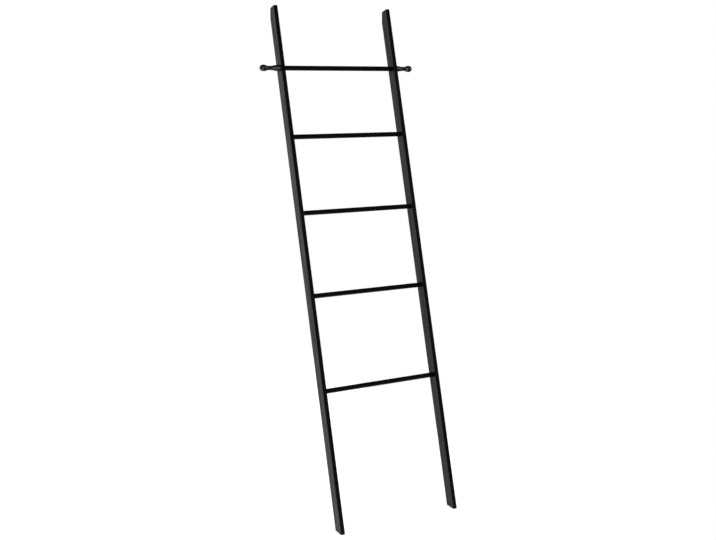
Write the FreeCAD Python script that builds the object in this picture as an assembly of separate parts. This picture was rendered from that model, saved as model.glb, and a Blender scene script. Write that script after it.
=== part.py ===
import FreeCAD, Part
import math
import os

from FreeCAD import Vector

# A leaning blanket ladder of black-stained wood: two flat stiles and five round rungs.
# The top rung carries a turned finial outside each stile.
# Lengths are in millimetres, angles in degrees. X runs across the ladder, +Y towards the wall, +Z up.
# "Along" is a distance up a stile's front edge from the floor.
# "Depth" runs square to that, from the stile's front face to its back.

# Whole ladder
ladder_length = 1830.0         # along, from the floor to the square top
lean_angle = 16.3              # back from upright
inside_width = 432.0           # clear between the stiles

# Stiles
stile_thickness = 14.5         # across the ladder
stile_depth = 43.0             # front to back
stile_edge_round = 1.0         # eased edges
wall_cut_height = 38.0         # upright cut at the top back corner, which lies along the wall

# Rungs: each axis is halfway through the stiles' depth. The spaces between the axes grow downwards
space_above_top_rung = 218.5   # along, to the square top
space_above_second_rung = 245.0
space_above_third_rung = 268.5
space_above_fourth_rung = 289.0
space_above_bottom_rung = 327.5
rung_diameter = 17.0
tenon_diameter = 12.0
tenon_chamfer = 0.8
socket_floor = 4.1             # wood left outside the blind sockets of the lower four rungs

# Finials, from the stile's outer face to the tip
finial_base_diameter = 25.5
finial_taper_length = 30.0     # a straight taper from the base down to the neck
finial_hollow_radius = 67.0    # rounds the corner between the taper and the neck
finial_neck_diameter = 14.8
finial_neck_length = 9.5       # from that corner to the swell
finial_swell_length = 19.5     # from the neck up to the knob's crest
finial_knob_diameter = 23.2
finial_cap_length = 14.0       # from the crest to the tip

# Dowel screws: pointed at both ends, half in the finial and half in the top rung
screw_diameter = 6.0
screw_core_diameter = 4.2
screw_length = 50.0
screw_tip_length = 5.0
screw_plain_length = 6.0       # unthreaded middle
screw_thread_pitch = 2.5

# Pins that lock the blind tenons, driven in from the stiles' back edges
pin_diameter = 1.6
pin_sunk = 1.0                 # below the back edge
pin_past_tenon = 5.0           # from the tenon's front side to the pin's point
pin_tip_length = 2.0

# Rubber pads under the feet and on the wall cuts
foot_pad_thickness = 3.5
foot_pad_margin = 0.3          # in from the wood's faces
wall_pad_thickness = 1.5
wall_pad_margin = 0.3          # in from the wood's eased edges
pad_corner_radius = 1.0

# Clearances
tenon_clearance = 0.1          # round each tenon, for glue
socket_end_room = 0.4          # beyond a blind tenon's end
tenon_setback = 0.3            # the top rung's tenons stop short of the outer face
screw_clearance = 0.1
screw_end_room = 1.0
pin_clearance = 0.05
cut_margin = 5.0               # how far a cutting solid runs past what it cuts

LEFT = -1
RIGHT = 1

lean = math.radians(lean_angle)
inner_face = inside_width / 2
outer_face = inner_face + stile_thickness
rung_radius = rung_diameter / 2
tenon_radius = tenon_diameter / 2
socket_radius = tenon_radius + tenon_clearance
tenon_length = stile_thickness - socket_floor - socket_end_room
through_tenon_length = stile_thickness - tenon_setback
screw_hole_radius = screw_diameter / 2 + screw_clearance
screw_hole_depth = screw_length / 2 + screw_end_room
rung_depth = stile_depth / 2
top_rung_along = ladder_length - space_above_top_rung
second_rung_along = top_rung_along - space_above_second_rung
third_rung_along = second_rung_along - space_above_third_rung
fourth_rung_along = third_rung_along - space_above_fourth_rung
bottom_rung_along = fourth_rung_along - space_above_bottom_rung
pin_across = inner_face + tenon_length / 2
pin_length = stile_depth - rung_depth + tenon_radius + pin_past_tenon - pin_sunk
foot_pad_width = stile_thickness - 2 * foot_pad_margin
wall_pad_inset = stile_edge_round + wall_pad_margin
wall_pad_width = stile_thickness - 2 * wall_pad_inset
blind_rungs = {
    "second_rung": second_rung_along,
    "third_rung": third_rung_along,
    "fourth_rung": fourth_rung_along,
    "bottom_rung": bottom_rung_along,
}

# The wall cut removes this much of the square top's depth.
wall_cut_depth = wall_cut_height * math.sin(lean)
wall_cut_y = (stile_depth - wall_cut_depth) * math.cos(lean) + ladder_length * math.sin(lean)

along_axis = Vector(0, math.sin(lean), math.cos(lean))
depth_axis = Vector(0, math.cos(lean), -math.sin(lean))


def ladder_point(across, depth, along):
    """A place on the leaning ladder."""
    return Vector(across, 0, 0) + depth_axis * depth + along_axis * along


def leaned(shape):
    """A copy of an upright shape, leaned back about the feet's front edge."""
    turned = shape.copy()
    turned.rotate(Vector(0, 0, 0), Vector(1, 0, 0), -lean_angle)
    return turned


def stile_blank(side):
    """One stile before its sockets are bored: level foot, square top, upright wall cut, eased edges."""
    low_x = inner_face if side == RIGHT else -outer_face
    bar = leaned(Part.makeBox(stile_thickness, stile_depth, ladder_length, Vector(low_x, 0, 0)))
    box = bar.BoundBox
    cut_width = stile_thickness + 2 * cut_margin
    below_floor = Part.makeBox(
        cut_width,
        box.YLength + 2 * cut_margin,
        foot_pad_thickness - box.ZMin + cut_margin,
        Vector(low_x - cut_margin, box.YMin - cut_margin, box.ZMin - cut_margin),
    )
    in_wall = Part.makeBox(
        cut_width,
        box.YMax - wall_cut_y + cut_margin,
        box.ZLength + 2 * cut_margin,
        Vector(low_x - cut_margin, wall_cut_y, box.ZMin - cut_margin),
    )
    blank = bar.cut(below_floor).cut(in_wall)
    return blank.makeFillet(stile_edge_round, blank.Edges)


def pin_start(side, along):
    """Where a pin's axis passes the stile's back edge."""
    return ladder_point(side * pin_across, stile_depth, along)


def pin_hole(side, along):
    """The narrow hole that a pin is driven into, through the stile and the tenon."""
    depth = pin_sunk + pin_length + pin_clearance
    start = pin_start(side, along) + depth_axis * cut_margin
    return Part.makeCylinder(pin_diameter / 2 + pin_clearance, depth + cut_margin, start, -depth_axis)


def make_stile(side):
    """A stile with a blind socket for each lower rung and a through hole for the top one."""
    outward = Vector(side, 0, 0)
    stile = stile_blank(side)
    top_start = ladder_point(side * (inner_face - cut_margin), rung_depth, top_rung_along)
    through = Part.makeCylinder(socket_radius, stile_thickness + 2 * cut_margin, top_start, outward)
    stile = stile.cut(through)
    for along in blind_rungs.values():
        start = ladder_point(side * (inner_face - cut_margin), rung_depth, along)
        socket_length = cut_margin + tenon_length + socket_end_room
        stile = stile.cut(Part.makeCylinder(socket_radius, socket_length, start, outward))
        stile = stile.cut(pin_hole(side, along))
    return stile


def turned_rod(along, end_length):
    """A rung with a chamfered tenon of this length at each end."""
    half = inner_face + end_length
    outline = [
        Vector(-half, 0, 0),
        Vector(-half, 0, tenon_radius - tenon_chamfer),
        Vector(-half + tenon_chamfer, 0, tenon_radius),
        Vector(-inner_face, 0, tenon_radius),
        Vector(-inner_face, 0, rung_radius),
        Vector(inner_face, 0, rung_radius),
        Vector(inner_face, 0, tenon_radius),
        Vector(half - tenon_chamfer, 0, tenon_radius),
        Vector(half, 0, tenon_radius - tenon_chamfer),
        Vector(half, 0, 0),
    ]
    profile = Part.Face(Part.makePolygon(outline + outline[:1]))
    rod = profile.revolve(Vector(0, 0, 0), Vector(1, 0, 0), 360)
    rod.translate(ladder_point(0, rung_depth, along))
    return rod


def make_blind_rung(along):
    """One of the lower rungs, with a pin hole across each tenon."""
    rung = turned_rod(along, tenon_length)
    for side in (LEFT, RIGHT):
        rung = rung.cut(pin_hole(side, along))
    return rung


def screw_hole(side, direction):
    """A hole for half a dowel screw, bored from the plane of the stile's outer face."""
    start = ladder_point(side * outer_face, rung_depth, top_rung_along)
    return Part.makeCylinder(screw_hole_radius, screw_hole_depth, start, direction)


def make_top_rung():
    """The top rung: its tenons pass through the stiles and take the dowel screws."""
    rung = turned_rod(top_rung_along, through_tenon_length)
    for side in (LEFT, RIGHT):
        rung = rung.cut(screw_hole(side, Vector(-side, 0, 0)))
    return rung


def sweep(start, end):
    """Two equal arcs from one point of a turned outline to another, level at both ends."""
    half_run = (end.x - start.x) / 2
    half_rise = (end.z - start.z) / 2
    radius = (half_run ** 2 + half_rise ** 2) / (2 * abs(half_rise))
    bow = math.copysign(radius - math.sqrt(radius ** 2 - (half_run / 2) ** 2), half_rise)
    middle = (start + end) * 0.5
    near_start = Vector(start.x + half_run / 2, 0, start.z + bow)
    near_end = Vector(end.x - half_run / 2, 0, end.z - bow)
    return [Part.Arc(start, near_start, middle).toShape(), Part.Arc(middle, near_end, end).toShape()]


def hollow(base, corner):
    """A taper's line from its base, then the arc that eases it into the level neck at this corner."""
    angle = math.atan2(base.z - corner.z, corner.x - base.x)
    reach = finial_hollow_radius * math.tan(angle / 2)
    rise = finial_hollow_radius * (1 / math.cos(angle / 2) - 1)
    start = corner + Vector(-math.cos(angle), 0, math.sin(angle)) * reach
    middle = corner + Vector(math.sin(angle / 2), 0, math.cos(angle / 2)) * rise
    end = corner + Vector(reach, 0, 0)
    return [Part.makeLine(base, start), Part.Arc(start, middle, end).toShape()], end


def cap_curve(crest):
    """A quarter ellipse from the knob's crest down to its tip."""
    steps = [math.radians(angle) for angle in (90, 45, 0)]
    round_cap = Part.Arc(*[Vector(math.cos(step), 0, math.sin(step)) for step in steps]).toShape()
    stretch = FreeCAD.Matrix()
    stretch.scale(finial_cap_length, 1, crest.z)
    stretch.move(crest.x, 0, 0)
    return round_cap.transformGeometry(stretch)


def make_finial(side):
    """A turned finial that stands on the stile's outer face and hides the top rung's tenon."""
    root = Vector(0, 0, 0)
    base = Vector(0, 0, finial_base_diameter / 2)
    corner = Vector(finial_taper_length, 0, finial_neck_diameter / 2)
    neck_end = corner + Vector(finial_neck_length, 0, 0)
    crest = Vector(neck_end.x + finial_swell_length, 0, finial_knob_diameter / 2)
    tip = Vector(crest.x + finial_cap_length, 0, 0)
    taper, neck_start = hollow(base, corner)
    edges = [Part.makeLine(root, base), *taper, Part.makeLine(neck_start, neck_end)]
    edges += sweep(neck_end, crest)
    edges += [cap_curve(crest), Part.makeLine(tip, root)]
    solid = Part.Face(Part.Wire(edges)).revolve(root, Vector(1, 0, 0), 360)
    if side == LEFT:
        solid = solid.mirror(Vector(0, 0, 0), Vector(1, 0, 0))
    solid.translate(ladder_point(side * outer_face, rung_depth, top_rung_along))
    return solid.cut(screw_hole(side, Vector(side, 0, 0)))


def make_dowel_screw(side):
    """A double-ended screw, centred on the stile's outer face. Its thread is drawn as rings."""
    core = screw_core_diameter / 2
    crest = screw_diameter / 2
    thread_length = screw_length / 2 - screw_tip_length - screw_plain_length / 2
    ring_count = int(thread_length / screw_thread_pitch)
    half = [Vector(0, 0, crest), Vector(screw_plain_length / 2, 0, crest)]
    for ring in range(ring_count):
        start = screw_plain_length / 2 + ring * screw_thread_pitch
        half.append(Vector(start + screw_thread_pitch / 2, 0, core))
        half.append(Vector(start + screw_thread_pitch, 0, crest))
    half.append(Vector(screw_length / 2 - screw_tip_length, 0, core))
    half.append(Vector(screw_length / 2, 0, 0))
    mirrored = [Vector(-point.x, 0, point.z) for point in reversed(half[1:])]
    outline = mirrored + half
    profile = Part.Face(Part.makePolygon(outline + outline[:1]))
    screw = profile.revolve(Vector(0, 0, 0), Vector(1, 0, 0), 360)
    screw.translate(ladder_point(side * outer_face, rung_depth, top_rung_along))
    return screw


def make_pin(side, along):
    """A headless pin, its point towards the front."""
    radius = pin_diameter / 2
    start = pin_start(side, along) - depth_axis * pin_sunk
    shank_length = pin_length - pin_tip_length
    shank = Part.makeCylinder(radius, shank_length, start, -depth_axis)
    tip = Part.makeCone(radius, 0, pin_tip_length, start - depth_axis * shank_length, -depth_axis)
    return shank.fuse(tip).removeSplitter()


def make_pins():
    """The pins of the lower four rungs, two to a rung."""
    pins = []
    for along in blind_rungs.values():
        pins += [make_pin(LEFT, along), make_pin(RIGHT, along)]
    return Part.makeCompound(pins)


def make_foot_pad(side):
    """A rubber pad under one foot."""
    front = foot_pad_thickness * math.tan(lean) + foot_pad_margin
    length = stile_depth / math.cos(lean) - 2 * foot_pad_margin
    low_x = side * (inner_face + stile_thickness / 2) - foot_pad_width / 2
    pad = Part.makeBox(foot_pad_width, length, foot_pad_thickness, Vector(low_x, front, 0))
    upright = [edge for edge in pad.Edges if edge.BoundBox.ZLength > foot_pad_thickness / 2]
    return pad.makeFillet(pad_corner_radius, upright)


def make_wall_pad(side):
    """A rubber pad on one stile's upright wall cut."""
    top_z = ladder_length * math.cos(lean) - (stile_depth - wall_cut_depth) * math.sin(lean)
    height = wall_cut_height - 2 * wall_pad_inset
    low_x = side * (inner_face + stile_thickness / 2) - wall_pad_width / 2
    corner = Vector(low_x, wall_cut_y, top_z - wall_pad_inset - height)
    pad = Part.makeBox(wall_pad_width, wall_pad_thickness, height, corner)
    level = [edge for edge in pad.Edges if edge.BoundBox.YLength > wall_pad_thickness / 2]
    return pad.makeFillet(pad_corner_radius, level)


def build():
    """Every node by name, with the origin on the floor under the middle of the ladder's box."""
    nodes = {
        "left_stile": make_stile(LEFT),
        "right_stile": make_stile(RIGHT),
        "top_rung": make_top_rung(),
        "left_finial": make_finial(LEFT),
        "right_finial": make_finial(RIGHT),
        "left_dowel_screw": make_dowel_screw(LEFT),
        "right_dowel_screw": make_dowel_screw(RIGHT),
        "rung_pins": make_pins(),
        "left_foot_pad": make_foot_pad(LEFT),
        "right_foot_pad": make_foot_pad(RIGHT),
        "left_wall_pad": make_wall_pad(LEFT),
        "right_wall_pad": make_wall_pad(RIGHT),
    }
    for name, along in blind_rungs.items():
        nodes[name] = make_blind_rung(along)
    box = Part.makeCompound(list(nodes.values())).BoundBox
    for shape in nodes.values():
        shape.translate(Vector(0, -box.Center.y, -box.ZMin))
    return nodes


nodes = build()
os.makedirs("parts", exist_ok=True)
for name, shape in nodes.items():
    shape.exportStep("parts/" + name + ".step")
    box = shape.BoundBox
    print(name, shape.isValid(), len(shape.Solids), round(shape.Volume, 1), box)
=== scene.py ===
import math

import bpy
from mathutils import Matrix, Vector


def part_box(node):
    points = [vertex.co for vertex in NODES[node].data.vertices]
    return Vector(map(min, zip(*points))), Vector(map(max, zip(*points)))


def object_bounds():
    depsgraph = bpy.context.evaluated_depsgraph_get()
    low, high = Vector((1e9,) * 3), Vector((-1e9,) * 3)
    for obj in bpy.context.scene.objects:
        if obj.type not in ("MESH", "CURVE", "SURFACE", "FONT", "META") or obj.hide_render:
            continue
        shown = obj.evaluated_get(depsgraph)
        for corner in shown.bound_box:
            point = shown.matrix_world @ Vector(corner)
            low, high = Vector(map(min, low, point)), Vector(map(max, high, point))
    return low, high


# The looks of a leaning blanket ladder of black-stained wood, laid out as an add-on and run as a script.
# Lengths are in metres unless a name or a property says millimetres.
# X runs across the ladder, +Y towards the wall that it leans on, +Z up.

bl_info = {
    "name": "Blanket Ladder Finish",
    "version": (1, 0, 0),
    "blender": (4, 5, 0),
    "location": "3D View > Sidebar > Ladder",
    "description": "Stains a leaning blanket ladder black and lights it on a pale floor",
    "category": "Material",
}

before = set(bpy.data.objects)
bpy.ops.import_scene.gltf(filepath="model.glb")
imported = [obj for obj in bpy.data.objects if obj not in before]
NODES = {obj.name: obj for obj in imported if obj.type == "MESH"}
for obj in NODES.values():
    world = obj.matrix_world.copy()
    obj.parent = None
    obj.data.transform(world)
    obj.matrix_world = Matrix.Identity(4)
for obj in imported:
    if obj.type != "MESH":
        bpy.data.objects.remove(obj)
CAD_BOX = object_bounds()

MM = 0.001

SIDES = {"left": -1, "right": 1}
RUNGS = ("top_rung", "second_rung", "third_rung", "fourth_rung", "bottom_rung")

# A wave texture at scale 1 repeats every 2 pi / 20 of a unit.
WAVE_PERIOD = math.tau / 20

# The sockets of a Mix node that take and give colours.
MIX_A = 6
MIX_B = 7
MIX_RESULT = 2

# Each lamp, seen from the ladder's middle: degrees to the right of straight in front, degrees up, and its
# width and height. The ladder_stage settings hold their powers under the same names.
LAMPS = {
    "front_lamp": {"azimuth": -8, "elevation": 14, "size": (1.0, 0.9)},
    "right_lamp": {"azimuth": 70, "elevation": 20, "size": (0.8, 0.8)},
}


def linear(hex_colour):
    """Linear red, green and blue of a colour written as sRGB hex, such as "#101010"."""
    levels = [int(hex_colour[start:start + 2], 16) / 255 for start in (1, 3, 5)]
    return [c / 12.92 if c <= 0.04045 else ((c + 0.055) / 1.055) ** 2.4 for c in levels]


def middle(node):
    """The middle of a CAD node's box."""
    low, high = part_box(node)
    return (low + high) / 2


def lean_angle():
    """How far the ladder leans back from upright, from the places of two rungs."""
    rise = middle("top_rung") - middle("bottom_rung")
    return math.atan2(rise.y, rise.z)


# ---- Sizes and colours that a user would change

class LadderWoodSettings(bpy.types.PropertyGroup):
    """The wood and its black finish."""

    stain: bpy.props.FloatVectorProperty(
        name="Stain", description="Colour of the stained wood", subtype="COLOR",
        min=0, max=1, default=linear("#060606"))
    streak: bpy.props.FloatVectorProperty(
        name="Streaks", description="Colour where denser wood took less stain", subtype="COLOR",
        min=0, max=1, default=linear("#0c0b0b"))
    pore_fill: bpy.props.FloatVectorProperty(
        name="Pores", description="Colour of the stain that gathers in the pores", subtype="COLOR",
        min=0, max=1, default=linear("#020202"))
    worn_edge: bpy.props.FloatVectorProperty(
        name="Worn edges", description="Colour where sanding and hands have thinned the stain on eased edges",
        subtype="COLOR", min=0, max=1, default=linear("#191613"))
    roughness: bpy.props.FloatProperty(
        name="Roughness", description="Roughness of the satin lacquer between the pores",
        subtype="FACTOR", min=0, max=1, default=0.3)
    reflectance: bpy.props.FloatProperty(
        name="Reflectance", description="Specular level of a thin lacquer that the wood's texture breaks up",
        subtype="FACTOR", min=0, max=1, default=0.128)
    turned_roughness: bpy.props.FloatProperty(
        name="Turned roughness", description="Roughness of lacquered wood that the lathe has burnished",
        subtype="FACTOR", min=0, max=1, default=0.28)
    turned_reflectance: bpy.props.FloatProperty(
        name="Turned reflectance", description="Specular level of an unbroken lacquer film on burnished wood",
        subtype="FACTOR", min=0, max=1, default=1.0)
    ring_width: bpy.props.FloatProperty(
        name="Growth ring (mm)", description="Width of one growth ring", min=0.5, max=20, default=4.5)
    streak_width: bpy.props.FloatProperty(
        name="Streak width (mm)", description="Width of a pale or dark streak", min=1, max=40, default=11)
    streak_length: bpy.props.FloatProperty(
        name="Streak length (mm)", description="Length of a pale or dark streak",
        min=10, max=1000, default=198)
    pore_width: bpy.props.FloatProperty(
        name="Pore width (mm)", description="Room across the grain for each pore",
        min=0.1, max=5, default=1.1)
    pore_length: bpy.props.FloatProperty(
        name="Pore length (mm)", description="Room along the grain for each pore", min=1, max=60, default=14)
    pore_depth: bpy.props.FloatProperty(
        name="Pore depth (mm)", description="Depth of a pore's groove", min=0, max=1, default=0.05)
    streak_height: bpy.props.FloatProperty(
        name="Streak height (mm)", description="How far a streak of dense wood stands above its neighbours",
        min=0, max=1, default=0.1)
    ring_height: bpy.props.FloatProperty(
        name="Ring height (mm)", description="How far a ring's late wood stands up",
        min=0, max=1, default=0.015)
    lathe_line: bpy.props.FloatProperty(
        name="Lathe line (mm)", description="Spacing of the lines that a chisel leaves on turned wood",
        min=0.1, max=5, default=0.8)
    lathe_height: bpy.props.FloatProperty(
        name="Lathe line height (mm)", description="Height of those lines", min=0, max=1, default=0.008)


class LadderFittingSettings(bpy.types.PropertyGroup):
    """The rubber pads, and the steel screws and pins."""

    rubber: bpy.props.FloatVectorProperty(
        name="Rubber", description="Colour of the foot and wall pads", subtype="COLOR",
        min=0, max=1, default=linear("#101011"))
    rubber_dust: bpy.props.FloatVectorProperty(
        name="Dust", description="Colour of the dust between the rubber's pits", subtype="COLOR",
        min=0, max=1, default=linear("#1a1a1b"))
    rubber_reflectance: bpy.props.FloatProperty(
        name="Rubber reflectance", description="Specular level of the rubber's pitted skin",
        subtype="FACTOR", min=0, max=1, default=0.12)
    rubber_pit: bpy.props.FloatProperty(
        name="Rubber pit (mm)", description="Size of the pits that the mould leaves",
        min=0.1, max=3, default=0.5)
    zinc: bpy.props.FloatVectorProperty(
        name="Zinc", description="Colour of the plating on the screws and pins", subtype="COLOR",
        min=0, max=1, default=linear("#b9bcc0"))
    zinc_dull: bpy.props.FloatVectorProperty(
        name="Dull zinc", description="Colour of the dull patches in the plating", subtype="COLOR",
        min=0, max=1, default=linear("#8f9296"))
    zinc_cloud: bpy.props.FloatProperty(
        name="Zinc cloud (mm)", description="Size of a dull patch in the plating",
        min=0.1, max=10, default=1.2)


class LadderStageSettings(bpy.types.PropertyGroup):
    """The camera, the floor and the light."""

    camera_place: bpy.props.FloatVectorProperty(
        name="Camera place", description="Where the camera stands", subtype="TRANSLATION", unit="LENGTH",
        default=(-1.5995, -3.0194, 1.4934))
    camera_turn: bpy.props.FloatProperty(
        name="Camera turn", description="How far the camera looks to the right of straight ahead",
        subtype="ANGLE", default=math.radians(27.543))
    camera_dip: bpy.props.FloatProperty(
        name="Camera dip", description="How far the camera looks down", subtype="ANGLE",
        default=math.radians(10.838))
    camera_lens: bpy.props.FloatProperty(
        name="Camera lens", description="Focal length over a sensor 36 mm wide", unit="CAMERA", default=49.4)
    floor: bpy.props.FloatVectorProperty(
        name="Floor", description="Colour of the floor", subtype="COLOR", min=0, max=1,
        default=linear("#e8e8e8"))
    soft_light: bpy.props.FloatProperty(
        name="Soft light", description="Even light from all round on dull surfaces",
        min=0, max=5, default=0.8)
    paper_glow: bpy.props.FloatProperty(
        name="Paper glow", description="White paper behind the ladder on its left, as glossy wood mirrors it",
        min=0, max=5, default=1.0)
    room_glow: bpy.props.FloatProperty(
        name="Room glow", description="Dim room round the rest of the ladder, as glossy wood mirrors it",
        min=0, max=5, default=0.05)
    front_lamp: bpy.props.FloatProperty(
        name="Front lamp", description="Power of the lamp in front", unit="POWER", min=0, default=20)
    right_lamp: bpy.props.FloatProperty(
        name="Right lamp", description="Power of the lamp on the right", unit="POWER", min=0, default=16)


# ---- Materials

def add_node(tree, kind, settings=(), inputs=()):
    """Adds a node. settings holds its options, and inputs a value or an output to link for each socket."""
    node = tree.nodes.new(kind)
    for name, value in dict(settings).items():
        setattr(node, name, value)
    for key, value in dict(inputs).items():
        if isinstance(value, bpy.types.NodeSocket):
            tree.links.new(value, node.inputs[key])
        else:
            node.inputs[key].default_value = value
    return node


def new_material(name):
    """A new material, with its node tree and its shader."""
    material = bpy.data.materials.new(name)
    material.use_nodes = True
    tree = material.node_tree
    tree.nodes.clear()
    shader = add_node(tree, "ShaderNodeBsdfPrincipled")
    add_node(tree, "ShaderNodeOutputMaterial", inputs={"Surface": shader.outputs[0]})
    return material, tree, shader


def growth_rings(tree, place, wood, pith):
    """0 in each ring's early wood, rising to 1 in its late wood, in rings round the pith."""
    # Rings wander by about a millimetre, over lengths of 50 mm across the board and 400 mm along it.
    wander = 2.5 * MM
    wander_across = 1 / (50 * MM)
    wander_along = 1 / (400 * MM)
    slow = add_node(tree, "ShaderNodeMapping",
                    inputs={"Vector": place, "Scale": (wander_across, wander_across, wander_along)})
    noise = add_node(tree, "ShaderNodeTexNoise", inputs={"Vector": slow.outputs[0], "Scale": 1, "Detail": 2})
    bent = add_node(tree, "ShaderNodeVectorMath", {"operation": "MULTIPLY_ADD"},
                    {0: noise.outputs["Color"], 1: (wander, wander, 0), 2: place})
    from_pith = add_node(tree, "ShaderNodeMapping", inputs={"Vector": bent.outputs[0], "Location": -pith})
    rings = add_node(tree, "ShaderNodeTexWave",
                     {"wave_type": "RINGS", "rings_direction": "Z", "wave_profile": "SAW"},
                     {"Vector": from_pith.outputs[0], "Scale": WAVE_PERIOD / (wood.ring_width * MM)})
    return rings.outputs["Fac"]


def streaks(tree, place, wood):
    """0 to 1, in long streaks along the grain."""
    # Real streaks are mostly narrower. They are drawn coarse enough to show on a whole ladder.
    across = 1 / (wood.streak_width * MM)
    along = 1 / (wood.streak_length * MM)
    # The noise levels that become 0 and 1.
    lowest = 0.38
    highest = 0.62
    stretched = add_node(tree, "ShaderNodeMapping",
                         inputs={"Vector": place, "Scale": (across, across, along)})
    noise = add_node(tree, "ShaderNodeTexNoise",
                     inputs={"Vector": stretched.outputs[0], "Scale": 1, "Detail": 4})
    spread = add_node(tree, "ShaderNodeMapRange", {"interpolation_type": "SMOOTHSTEP"},
                      {"Value": noise.outputs["Fac"], "From Min": lowest, "From Max": highest})
    return spread.outputs[0]


def pores(tree, place, rings, wood):
    """1 in a pore's groove and 0 between the pores, which crowd into the early wood."""
    # Rubberwood's pores are about 0.2 mm wide. They are drawn coarser, so that they show.
    across = 1 / (wood.pore_width * MM)
    along = 1 / (wood.pore_length * MM)
    # The noise levels at a groove's rim and at its floor, and how far late wood lowers the noise.
    rim = 0.54
    groove_floor = 0.64
    late_wood_closes = 0.06
    stretched = add_node(tree, "ShaderNodeMapping",
                         inputs={"Vector": place, "Scale": (across, across, along)})
    noise = add_node(tree, "ShaderNodeTexNoise",
                     inputs={"Vector": stretched.outputs[0], "Scale": 1, "Detail": 1})
    fewer = add_node(tree, "ShaderNodeMath", {"operation": "MULTIPLY"}, {0: rings, 1: late_wood_closes})
    kept = add_node(tree, "ShaderNodeMath", {"operation": "SUBTRACT"},
                    {0: noise.outputs["Fac"], 1: fewer.outputs[0]})
    groove = add_node(tree, "ShaderNodeMapRange", {"interpolation_type": "SMOOTHSTEP"},
                      {"Value": kept.outputs[0], "From Min": rim, "From Max": groove_floor})
    return groove.outputs[0]


def end_grain(tree, grain):
    """1 where the surface cuts across the fibres, and 0 where it runs along them."""
    # Cosines of the angle between the grain and the surface's normal.
    slanting = 0.75
    nearly_square = 0.95
    normal = add_node(tree, "ShaderNodeNewGeometry").outputs["Normal"]
    facing = add_node(tree, "ShaderNodeVectorMath", {"operation": "DOT_PRODUCT"}, {0: normal, 1: grain})
    either = add_node(tree, "ShaderNodeMath", {"operation": "ABSOLUTE"}, {0: facing.outputs["Value"]})
    cut = add_node(tree, "ShaderNodeMapRange", {"interpolation_type": "SMOOTHSTEP"},
                   {"Value": either.outputs[0], "From Min": slanting, "From Max": nearly_square})
    return cut.outputs[0]


def worn_arris(tree, place, half_size):
    """1 in patches along a board's four long edges, and 0 on its faces."""
    wear_width = 2 * MM
    patch_size = 45 * MM
    # The noise levels at a patch's border and where its wear is full.
    border = 0.45
    full_wear = 0.65
    sides = add_node(tree, "ShaderNodeSeparateXYZ", inputs={0: place})
    near = []
    for output, half in zip(("X", "Y"), half_size):
        out = add_node(tree, "ShaderNodeMath", {"operation": "ABSOLUTE"}, {0: sides.outputs[output]})
        rim = add_node(tree, "ShaderNodeMapRange", {"interpolation_type": "SMOOTHSTEP"},
                       {"Value": out.outputs[0], "From Min": half - wear_width, "From Max": half})
        near.append(rim.outputs[0])
    arris = add_node(tree, "ShaderNodeMath", {"operation": "MULTIPLY"}, {0: near[0], 1: near[1]})
    noise = add_node(tree, "ShaderNodeTexNoise",
                     inputs={"Vector": place, "Scale": 1 / patch_size, "Detail": 3})
    patches = add_node(tree, "ShaderNodeMapRange", {"interpolation_type": "SMOOTHSTEP"},
                       {"Value": noise.outputs["Fac"], "From Min": border, "From Max": full_wear})
    worn = add_node(tree, "ShaderNodeMath", {"operation": "MULTIPLY"},
                    {0: arris.outputs[0], 1: patches.outputs[0]})
    return worn.outputs[0]


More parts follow.
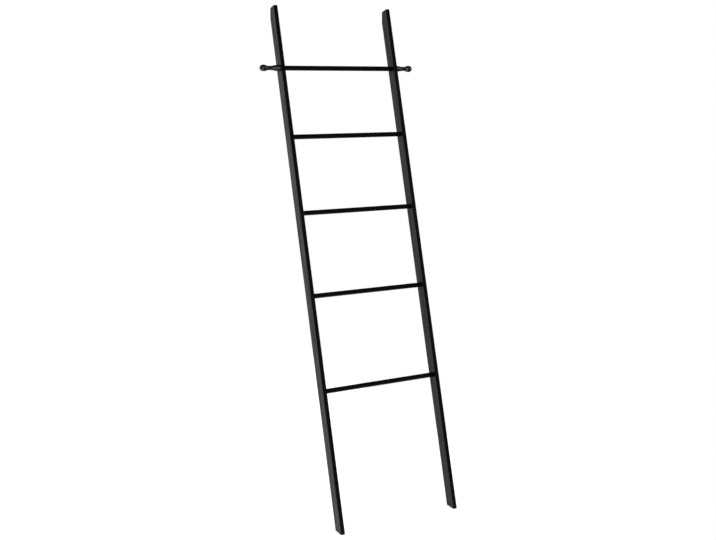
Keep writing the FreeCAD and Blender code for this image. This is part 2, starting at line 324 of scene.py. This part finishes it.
def stained_rubberwood(name, wood, turn, origin, pith, half_size=None, turned=False):
    """Rubberwood under black stain and one thin coat of satin lacquer.

    turn and origin take the ladder's coordinates to the board's own, with Z along the grain. pith is where
    the middle of the tree was in those. half_size is the board's half thickness and half depth, and is given
    where its edges are worn.

    The stain gives the eye a near black with faint long streaks. The pores stay open as fine grooves.
    The lacquer mirrors pale paper only at a low angle, and there a wide face turns grey.
    """
    # How far late wood darkens a pale streak, how far the roughness of dense and soft wood swings either way,
    # how much rougher open pores and end grain are, and how far the chisel's lines wave.
    late_wood_darkens = 0.35
    roughness_swing = 0.14
    open_wood_dulls = 0.2
    chisel_waver = 3

    material, tree, shader = new_material(name)
    to_board = -(turn @ origin)
    own = add_node(tree, "ShaderNodeTexCoord").outputs["Object"]
    place = add_node(tree, "ShaderNodeMapping",
                     inputs={"Vector": own, "Rotation": turn.to_euler(), "Location": to_board}).outputs[0]
    rings = growth_rings(tree, place, wood, pith)
    streak = streaks(tree, place, wood)
    groove = pores(tree, place, rings, wood)
    cut = end_grain(tree, turn.inverted() @ Vector((0, 0, 1)))

    late = add_node(tree, "ShaderNodeMath", {"operation": "MULTIPLY"}, {0: rings, 1: late_wood_darkens})
    pale = add_node(tree, "ShaderNodeMath", {"operation": "SUBTRACT", "use_clamp": True},
                    {0: streak, 1: late.outputs[0]}).outputs[0]
    colour = add_node(tree, "ShaderNodeMix", {"data_type": "RGBA"},
                      {0: pale, MIX_A: (*wood.stain, 1), MIX_B: (*wood.streak, 1)}).outputs[MIX_RESULT]
    if half_size:
        worn = worn_arris(tree, place, half_size)
        colour = add_node(tree, "ShaderNodeMix", {"data_type": "RGBA"},
                          {0: worn, MIX_A: colour, MIX_B: (*wood.worn_edge, 1)}).outputs[MIX_RESULT]
    dark = add_node(tree, "ShaderNodeMath", {"operation": "MAXIMUM"}, {0: groove, 1: cut}).outputs[0]
    colour = add_node(tree, "ShaderNodeMix", {"data_type": "RGBA"},
                      {0: dark, MIX_A: colour, MIX_B: (*wood.pore_fill, 1)}).outputs[MIX_RESULT]
    tree.links.new(colour, shader.inputs["Base Color"])

    roughness = wood.turned_roughness if turned else wood.roughness
    reflectance = wood.turned_reflectance if turned else wood.reflectance
    glossier = add_node(tree, "ShaderNodeMapRange",
                        inputs={"Value": streak, "To Min": roughness + roughness_swing,
                                "To Max": roughness - roughness_swing})
    open_wood = add_node(tree, "ShaderNodeMath", {"operation": "MULTIPLY_ADD", "use_clamp": True},
                         {0: dark, 1: open_wood_dulls, 2: glossier.outputs[0]})
    tree.links.new(open_wood.outputs[0], shader.inputs["Roughness"])
    shader.inputs["Specular IOR Level"].default_value = reflectance

    # Heights in millimetres: dense streaks stand above soft ones, late wood stands up, pores are open.
    height = add_node(tree, "ShaderNodeMath", {"operation": "MULTIPLY"},
                      {0: streak, 1: wood.streak_height}).outputs[0]
    height = add_node(tree, "ShaderNodeMath", {"operation": "MULTIPLY_ADD"},
                      {0: rings, 1: wood.ring_height, 2: height}).outputs[0]
    height = add_node(tree, "ShaderNodeMath", {"operation": "MULTIPLY_ADD"},
                      {0: groove, 1: -wood.pore_depth, 2: height}).outputs[0]
    if turned:
        chisel = add_node(tree, "ShaderNodeTexWave", {"wave_type": "BANDS", "bands_direction": "Z"},
                          {"Vector": place, "Scale": WAVE_PERIOD / (wood.lathe_line * MM),
                           "Distortion": chisel_waver})
        height = add_node(tree, "ShaderNodeMath", {"operation": "MULTIPLY_ADD"},
                          {0: chisel.outputs["Fac"], 1: wood.lathe_height, 2: height}).outputs[0]
    bump = add_node(tree, "ShaderNodeBump", inputs={"Height": height, "Distance": MM})
    tree.links.new(bump.outputs[0], shader.inputs["Normal"])
    return material


def moulded_rubber(fittings):
    """Nitrile rubber pressed in a spark-eroded mould: a matt charcoal with fine pits and no clear highlight.

    The pits trap the light that smooth rubber would mirror, so at a low angle it stays darker than the wood.
    """
    # A mould's pits are nearer 0.1 mm. They are drawn coarser, so that they show close up.
    pit_depth = 0.05 * MM
    smoothest = 0.7
    roughest = 0.9
    material, tree, shader = new_material("moulded_nitrile_rubber")
    own = add_node(tree, "ShaderNodeTexCoord").outputs["Object"]
    pit = add_node(tree, "ShaderNodeTexNoise",
                   inputs={"Vector": own, "Scale": 1 / (fittings.rubber_pit * MM), "Detail": 3})
    dust = add_node(tree, "ShaderNodeMix", {"data_type": "RGBA"},
                    {0: pit.outputs["Fac"], MIX_A: (*fittings.rubber, 1), MIX_B: (*fittings.rubber_dust, 1)})
    tree.links.new(dust.outputs[MIX_RESULT], shader.inputs["Base Color"])
    dull = add_node(tree, "ShaderNodeMapRange",
                    inputs={"Value": pit.outputs["Fac"], "To Min": smoothest, "To Max": roughest})
    tree.links.new(dull.outputs[0], shader.inputs["Roughness"])
    shader.inputs["Specular IOR Level"].default_value = fittings.rubber_reflectance
    bump = add_node(tree, "ShaderNodeBump", inputs={"Height": pit.outputs["Fac"], "Distance": pit_depth})
    tree.links.new(bump.outputs[0], shader.inputs["Normal"])
    return material


def zinc_plate(fittings):
    """Steel wire, rolled or drawn and zinc plated: a cool grey metal, bright with small dull clouds."""
    cloud_height = 0.01 * MM
    smoothest = 0.25
    roughest = 0.5
    material, tree, shader = new_material("zinc_plated_steel")
    own = add_node(tree, "ShaderNodeTexCoord").outputs["Object"]
    cloud = add_node(tree, "ShaderNodeTexNoise",
                     inputs={"Vector": own, "Scale": 1 / (fittings.zinc_cloud * MM), "Detail": 4})
    tone = add_node(tree, "ShaderNodeMix", {"data_type": "RGBA"},
                    {0: cloud.outputs["Fac"], MIX_A: (*fittings.zinc, 1), MIX_B: (*fittings.zinc_dull, 1)})
    tree.links.new(tone.outputs[MIX_RESULT], shader.inputs["Base Color"])
    dull = add_node(tree, "ShaderNodeMapRange",
                    inputs={"Value": cloud.outputs["Fac"], "To Min": smoothest, "To Max": roughest})
    tree.links.new(dull.outputs[0], shader.inputs["Roughness"])
    shader.inputs["Metallic"].default_value = 1
    bump = add_node(tree, "ShaderNodeBump", inputs={"Height": cloud.outputs["Fac"], "Distance": cloud_height})
    tree.links.new(bump.outputs[0], shader.inputs["Normal"])
    return material


def dress(node, material):
    """Gives a CAD node its material."""
    if node not in NODES:
        raise RuntimeError(f"the packed ladder has no node named {node}")
    slots = NODES[node].data.materials
    slots.clear()
    slots.append(material)


def board_half_size(node, turn):
    """Half a board's thickness and half its depth, square to its grain."""
    own = [turn @ vertex.co for vertex in NODES[node].data.vertices]
    half_across = (max(point.x for point in own) - min(point.x for point in own)) / 2
    half_deep = (max(point.y for point in own) - min(point.y for point in own)) / 2
    return half_across, half_deep


# ---- One operator for each group of like pieces, and one for the stage

class LADDER_OT_finish_stiles(bpy.types.Operator):
    """Gives the two stiles planed wood under black stain, with worn edges"""
    bl_idname = "ladder.finish_stiles"
    bl_label = "Finish Stiles"

    def execute(self, context):
        wood = context.scene.ladder_wood
        upright = Matrix.Rotation(lean_angle(), 3, "X")
        rung = middle("top_rung")
        # The pith was on each board's outer side and behind it, so the rings curve through the board.
        pith_aside = 31 * MM
        pith_behind = 52 * MM
        for side, sign in SIDES.items():
            node = f"{side}_stile"
            on_centre_line = Vector((middle(node).x, rung.y, rung.z))
            pith = Vector((sign * pith_aside, pith_behind, 0))
            dress(node, stained_rubberwood(
                f"planed_rubberwood_black_stain_{side}", wood, upright, on_centre_line, pith,
                half_size=board_half_size(node, upright)))
        return {"FINISHED"}


class LADDER_OT_finish_rungs(bpy.types.Operator):
    """Gives the five dowel rungs wood under black stain"""
    bl_idname = "ladder.finish_rungs"
    bl_label = "Finish Rungs"

    def execute(self, context):
        lengthwise = Matrix.Rotation(math.radians(-90), 3, "Y")
        # One pith below the floor and behind serves all five rungs. It is so far off that their rings run
        # nearly straight, and each rung has its own.
        pith_below = 350 * MM
        pith_behind = 270 * MM
        pith = Vector((pith_below, pith_behind, 0))
        dowel = stained_rubberwood("doweled_rubberwood_black_stain", context.scene.ladder_wood,
                                   lengthwise, Vector((0, 0, 0)), pith)
        for node in RUNGS:
            dress(node, dowel)
        return {"FINISHED"}


class LADDER_OT_finish_finials(bpy.types.Operator):
    """Gives the two finials turned wood under black stain, with lathe lines"""
    bl_idname = "ladder.finish_finials"
    bl_label = "Finish Finials"

    def execute(self, context):
        lengthwise = Matrix.Rotation(math.radians(-90), 3, "Y")
        # The pith was just outside each blank, below it, and behind the right one but before the left.
        pith_below = 24 * MM
        pith_behind = 17 * MM
        for side, sign in SIDES.items():
            node = f"{side}_finial"
            pith = Vector((pith_below, sign * pith_behind, 0))
            dress(node, stained_rubberwood(
                f"turned_rubberwood_black_stain_{side}", context.scene.ladder_wood,
                lengthwise, middle(node), pith, turned=True))
        return {"FINISHED"}


class LADDER_OT_finish_pads(bpy.types.Operator):
    """Gives the foot and wall pads moulded matt rubber"""
    bl_idname = "ladder.finish_pads"
    bl_label = "Finish Pads"

    def execute(self, context):
        rubber = moulded_rubber(context.scene.ladder_fittings)
        for side in SIDES:
            dress(f"{side}_foot_pad", rubber)
            dress(f"{side}_wall_pad", rubber)
        return {"FINISHED"}


class LADDER_OT_finish_fixings(bpy.types.Operator):
    """Gives the dowel screws and the rung pins their zinc plating"""
    bl_idname = "ladder.finish_fixings"
    bl_label = "Finish Fixings"

    def execute(self, context):
        zinc = zinc_plate(context.scene.ladder_fittings)
        for side in SIDES:
            dress(f"{side}_dowel_screw", zinc)
        dress("rung_pins", zinc)
        return {"FINISHED"}


def place_camera(scene, stage):
    """The camera, at the photograph's viewing angle."""
    data = bpy.data.cameras.new("ladder_camera")
    data.lens = stage.camera_lens
    camera = bpy.data.objects.new("ladder_camera", data)
    camera.location = stage.camera_place
    level = math.radians(90)
    camera.rotation_euler = (level - stage.camera_dip, 0, -stage.camera_turn)
    scene.collection.objects.link(camera)
    scene.camera = camera


def lay_floor(scene, stage):
    """A pale floor that the camera and glossy surfaces see as white, with the ladder's shadow on it.

    It runs far out behind the ladder and to its left. In front and on the right it stops just past the
    ladder, so the undersides of the knobs and rungs mirror little of it and stay dark.
    """
    far = 60
    past_ladder = 0.3
    front = CAD_BOX[0].y - past_ladder
    right = CAD_BOX[1].x + past_ladder
    corners = [(-far, front, 0), (right, front, 0), (right, far, 0), (-far, far, 0)]
    mesh = bpy.data.meshes.new("floor")
    mesh.from_pydata(corners, [], [(0, 1, 2, 3)])
    floor = bpy.data.objects.new("floor", mesh)
    scene.collection.objects.link(floor)

    # Painted board: dull and even. The lift brings the lit floor to white, and its shadows stay below that.
    lift = 0.5
    material = bpy.data.materials.new("matt_painted_floor")
    material.use_nodes = True
    tree = material.node_tree
    tree.nodes.clear()
    rays = add_node(tree, "ShaderNodeLightPath")
    glossy = add_node(tree, "ShaderNodeMath", {"operation": "ADD"},
                      {0: rays.outputs["Is Glossy Ray"], 1: rays.outputs["Is Transmission Ray"]})
    seen = add_node(tree, "ShaderNodeMath", {"operation": "ADD", "use_clamp": True},
                    {0: rays.outputs["Is Camera Ray"], 1: glossy.outputs[0]})
    strength = add_node(tree, "ShaderNodeMath", {"operation": "MULTIPLY"}, {0: seen.outputs[0], 1: lift})
    glow = add_node(tree, "ShaderNodeEmission", inputs={"Strength": strength.outputs[0]})
    paint = add_node(tree, "ShaderNodeBsdfDiffuse", inputs={"Color": (*stage.floor, 1)})
    both = add_node(tree, "ShaderNodeAddShader", inputs={0: paint.outputs[0], 1: glow.outputs[0]})
    add_node(tree, "ShaderNodeOutputMaterial", inputs={"Surface": both.outputs[0]})
    mesh.materials.append(material)


def light_room(scene, stage):
    """White all round for the camera, even soft light on dull surfaces, and the studio for glossy ones.

    That studio is white paper behind the ladder on its left, and a dim room on its right and in front of it.
    """
    # Parts of a direction of length 1: where the paper is gone, and where it is full.
    gone_in_front = 0.0
    full_behind = 0.5
    gone_on_right = 0.35
    full_on_left = -0.05
    gone_above = 0.75
    full_below = 0.35
    white = (1, 1, 1, 1)

    world = bpy.data.worlds.new("paper_studio")
    world.use_nodes = True
    tree = world.node_tree
    tree.nodes.clear()
    rays = add_node(tree, "ShaderNodeLightPath")
    direction = add_node(tree, "ShaderNodeTexCoord").outputs["Generated"]
    parts = add_node(tree, "ShaderNodeSeparateXYZ", inputs={0: direction})
    behind = add_node(tree, "ShaderNodeMapRange", {"interpolation_type": "SMOOTHSTEP"},
                      {"Value": parts.outputs["Y"], "From Min": gone_in_front, "From Max": full_behind})
    on_the_left = add_node(tree, "ShaderNodeMapRange", {"interpolation_type": "SMOOTHSTEP"},
                           {"Value": parts.outputs["X"], "From Min": gone_on_right, "From Max": full_on_left})
    left_behind = add_node(tree, "ShaderNodeMath", {"operation": "MULTIPLY"},
                           {0: behind.outputs[0], 1: on_the_left.outputs[0]})
    below_ceiling = add_node(tree, "ShaderNodeMapRange", {"interpolation_type": "SMOOTHSTEP"},
                             {"Value": parts.outputs["Z"], "From Min": gone_above, "From Max": full_below})
    paper = add_node(tree, "ShaderNodeMath", {"operation": "MULTIPLY"},
                     {0: left_behind.outputs[0], 1: below_ceiling.outputs[0]})
    mirrored = add_node(tree, "ShaderNodeMapRange",
                        inputs={"Value": paper.outputs[0],
                                "To Min": stage.room_glow, "To Max": stage.paper_glow})
    lit = add_node(tree, "ShaderNodeMix",
                   inputs={"Factor": rays.outputs["Is Glossy Ray"],
                           "A": stage.soft_light, "B": mirrored.outputs[0]})
    seen = add_node(tree, "ShaderNodeMath", {"operation": "ADD", "use_clamp": True},
                    {0: rays.outputs["Is Camera Ray"], 1: rays.outputs["Is Transmission Ray"]})
    strength = add_node(tree, "ShaderNodeMix",
                        inputs={"Factor": seen.outputs[0], "A": lit.outputs[0], "B": 1})
    sky = add_node(tree, "ShaderNodeBackground", inputs={"Color": white, "Strength": strength.outputs[0]})
    add_node(tree, "ShaderNodeOutputWorld", inputs={"Surface": sky.outputs[0]})
    scene.world = world


def hang_lamp(scene, name, power, azimuth, elevation, size):
    """A soft lamp that faces the ladder's middle."""
    distance = 3.2
    low, high = CAD_BOX
    target = (low + high) / 2
    turn = math.radians(azimuth)
    rise = math.radians(elevation)
    outward = Vector((math.sin(turn) * math.cos(rise), -math.cos(turn) * math.cos(rise), math.sin(rise)))
    data = bpy.data.lights.new(name, "AREA")
    data.shape = "RECTANGLE"
    data.size, data.size_y = size
    data.energy = power
    lamp = bpy.data.objects.new(name, data)
    lamp.location = target + outward * distance
    lamp.rotation_euler = (-outward).to_track_quat("-Z", "Y").to_euler()
    scene.collection.objects.link(lamp)


class LADDER_OT_set_stage(bpy.types.Operator):
    """Sets the camera, the pale floor and the soft light"""
    bl_idname = "ladder.set_stage"
    bl_label = "Set Stage"

    def execute(self, context):
        scene = context.scene
        stage = scene.ladder_stage
        place_camera(scene, stage)
        lay_floor(scene, stage)
        light_room(scene, stage)
        for name, place in LAMPS.items():
            hang_lamp(scene, name, getattr(stage, name), **place)
        scene.view_settings.view_transform = "Standard"
        return {"FINISHED"}


class LADDER_PT_finish(bpy.types.Panel):
    """The ladder's finishes and its stage"""
    bl_idname = "LADDER_PT_finish"
    bl_label = "Blanket Ladder"
    bl_space_type = "VIEW_3D"
    bl_region_type = "UI"
    bl_category = "Ladder"

    def draw(self, context):
        for settings, steps in PANEL_ROWS:
            box = self.layout.box()
            group = getattr(context.scene, settings)
            for name in group.bl_rna.properties.keys():
                if name not in ("rna_type", "name"):
                    box.prop(group, name)
            for step in steps:
                box.operator(step.bl_idname)


SETTINGS = {
    "ladder_wood": LadderWoodSettings,
    "ladder_fittings": LadderFittingSettings,
    "ladder_stage": LadderStageSettings,
}

PANEL_ROWS = (
    ("ladder_wood", (LADDER_OT_finish_stiles, LADDER_OT_finish_rungs, LADDER_OT_finish_finials)),
    ("ladder_fittings", (LADDER_OT_finish_pads, LADDER_OT_finish_fixings)),
    ("ladder_stage", (LADDER_OT_set_stage,)),
)

CLASSES = (
    *SETTINGS.values(),
    LADDER_OT_set_stage,
    LADDER_OT_finish_stiles,
    LADDER_OT_finish_rungs,
    LADDER_OT_finish_finials,
    LADDER_OT_finish_pads,
    LADDER_OT_finish_fixings,
    LADDER_PT_finish,
)


def register():
    for cls in CLASSES:
        bpy.utils.register_class(cls)
    for name, group in SETTINGS.items():
        setattr(bpy.types.Scene, name, bpy.props.PointerProperty(type=group))


def unregister():
    for name in SETTINGS:
        delattr(bpy.types.Scene, name)
    for cls in reversed(CLASSES):
        bpy.utils.unregister_class(cls)


def main():
    """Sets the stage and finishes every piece."""
    register()
    bpy.ops.ladder.set_stage()
    bpy.ops.ladder.finish_stiles()
    bpy.ops.ladder.finish_rungs()
    bpy.ops.ladder.finish_finials()
    bpy.ops.ladder.finish_pads()
    bpy.ops.ladder.finish_fixings()


if __name__ == "__main__":
    main()
